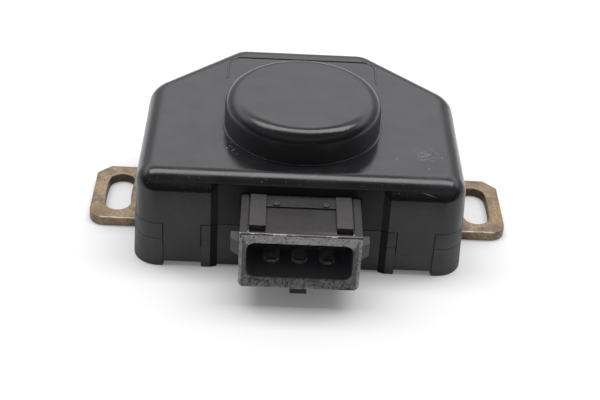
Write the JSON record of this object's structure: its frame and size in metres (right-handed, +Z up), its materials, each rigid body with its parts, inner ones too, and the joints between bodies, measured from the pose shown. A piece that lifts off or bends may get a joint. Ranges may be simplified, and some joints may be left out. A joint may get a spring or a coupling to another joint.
{
  "type": "throttle position sensor",
  "caption": "Throttle position sensor with a black bevelled housing, round boss, flat-blade plug header in front and a steel plate with slotted ears.",
  "frame": {"origin": "where the rotor's axis meets the mounting face", "axes": "+Z up along the rotor's axis, away from the mounting face; +X across the ears; the plug header points along -Y"},
  "size_m": [0.0818, 0.0636, 0.0262],
  "materials": {
    "cover_plastic": "satin",
    "base_plastic": "satin",
    "header_plastic": "matte, worn at the rim",
    "blade_metal": "dull tin plate",
    "plate_steel": "stained yellow passivated zinc",
    "rivet_steel": "dull",
    "bush_bronze": "sintered, oiled",
    "seal_rubber": "matte",
    "washer_steel": "plain",
    "rotor_plastic": "natural moulded",
    "carrier_plastic": "matte",
    "brush_metal": "spring alloy",
    "spring_steel": "plain",
    "board_laminate": "satin laminate with printed tracks",
    "screw_steel": "zinc",
    "solder_tin": "bright tin",
    "resin_black": "cast"
  },
  "bodies": {
    "housing": {"cover": "cover_plastic", "base": "base_plastic", "connector_shell": "header_plastic", "terminal_left": "blade_metal", "terminal_centre": "blade_metal", "terminal_right": "blade_metal", "mounting_plate": "plate_steel", "plate_rivets": "rivet_steel", "bearing_bush": "bush_bronze", "shaft_seal": "seal_rubber", "thrust_washer": "washer_steel", "preload_spring": "spring_steel", "resistor_board": "board_laminate", "board_screws": "screw_steel", "solder_joints": "solder_tin", "terminal_resin": "resin_black", "header_gasket": "seal_rubber", "cover_seal": "seal_rubber"},
    "rotor_group": {"rotor": "rotor_plastic", "wiper_carrier": "carrier_plastic", "wiper_spring": "brush_metal", "wiper_rivets": "brush_metal", "retaining_ring": "spring_steel"}
  },
  "joints": [
    {"name": "rotor_turn", "type": "hinge", "parent": "housing", "child": "rotor_group", "pos_m": [0, 0, 0], "axis": [0, 0, 1], "range_deg": [0, 90]}
  ]
}
